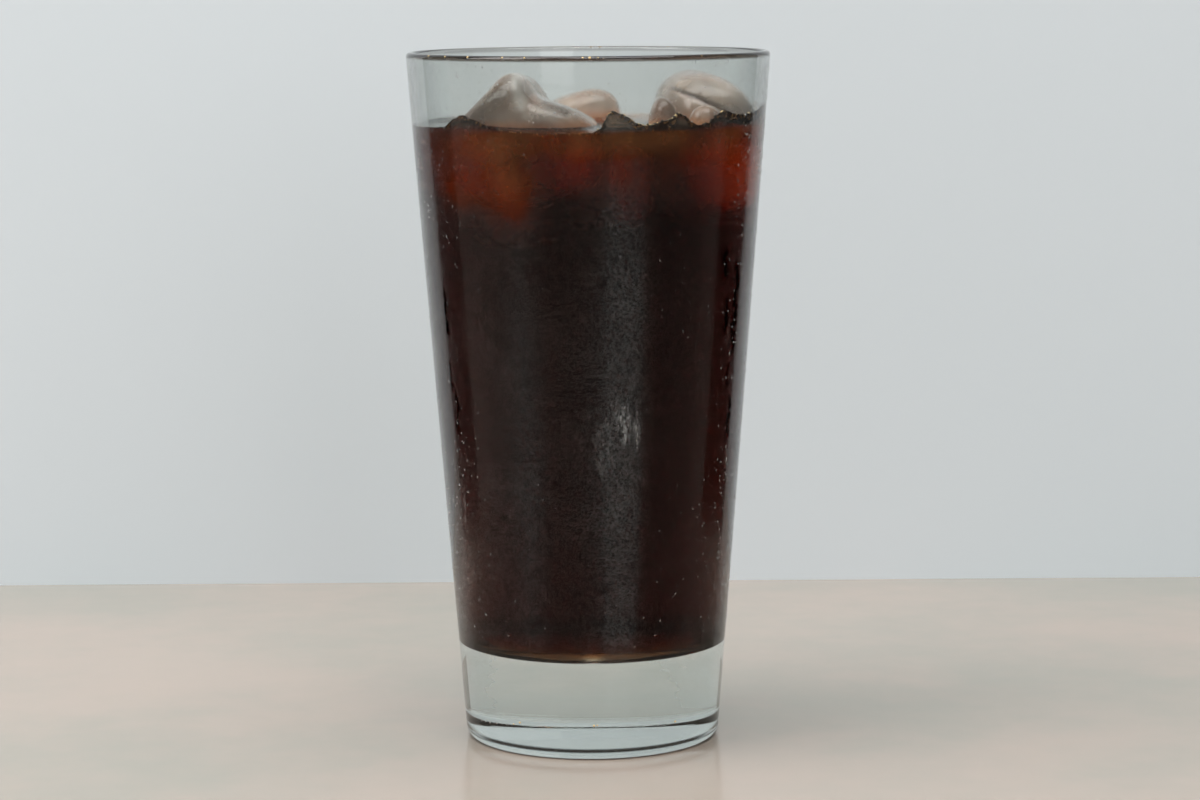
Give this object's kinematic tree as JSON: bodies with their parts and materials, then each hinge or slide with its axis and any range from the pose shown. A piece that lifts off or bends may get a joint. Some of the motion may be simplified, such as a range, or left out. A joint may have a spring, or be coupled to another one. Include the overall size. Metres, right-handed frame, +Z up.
{
  "type": "iced americano",
  "caption": "Tall tapered clear tumbler with a heavy foot, filled with iced black coffee; lumps of melting ice stand out of the drink below the rim.",
  "frame": {"origin": "middle of the foot, on the table", "axes": "+Z up along the axis of the glass, +X to the viewer's right, -Y towards the viewer"},
  "size_m": [0.0838, 0.0838, 0.16],
  "materials": {
    "clear_glass": "smooth, misted outside by condensation",
    "black_coffee": "clear liquid, almost black, red brown where it is thin",
    "ice": "wet, melting, cloudy in the middle"
  },
  "bodies": {
    "root": {"glass": "clear_glass", "coffee": "black_coffee", "ice_left": "ice", "ice_right": "ice", "ice_back": "ice", "ice_back_left": "ice", "ice_small_middle": "ice", "ice_small_right": "ice"}
  },
  "joints": []
}
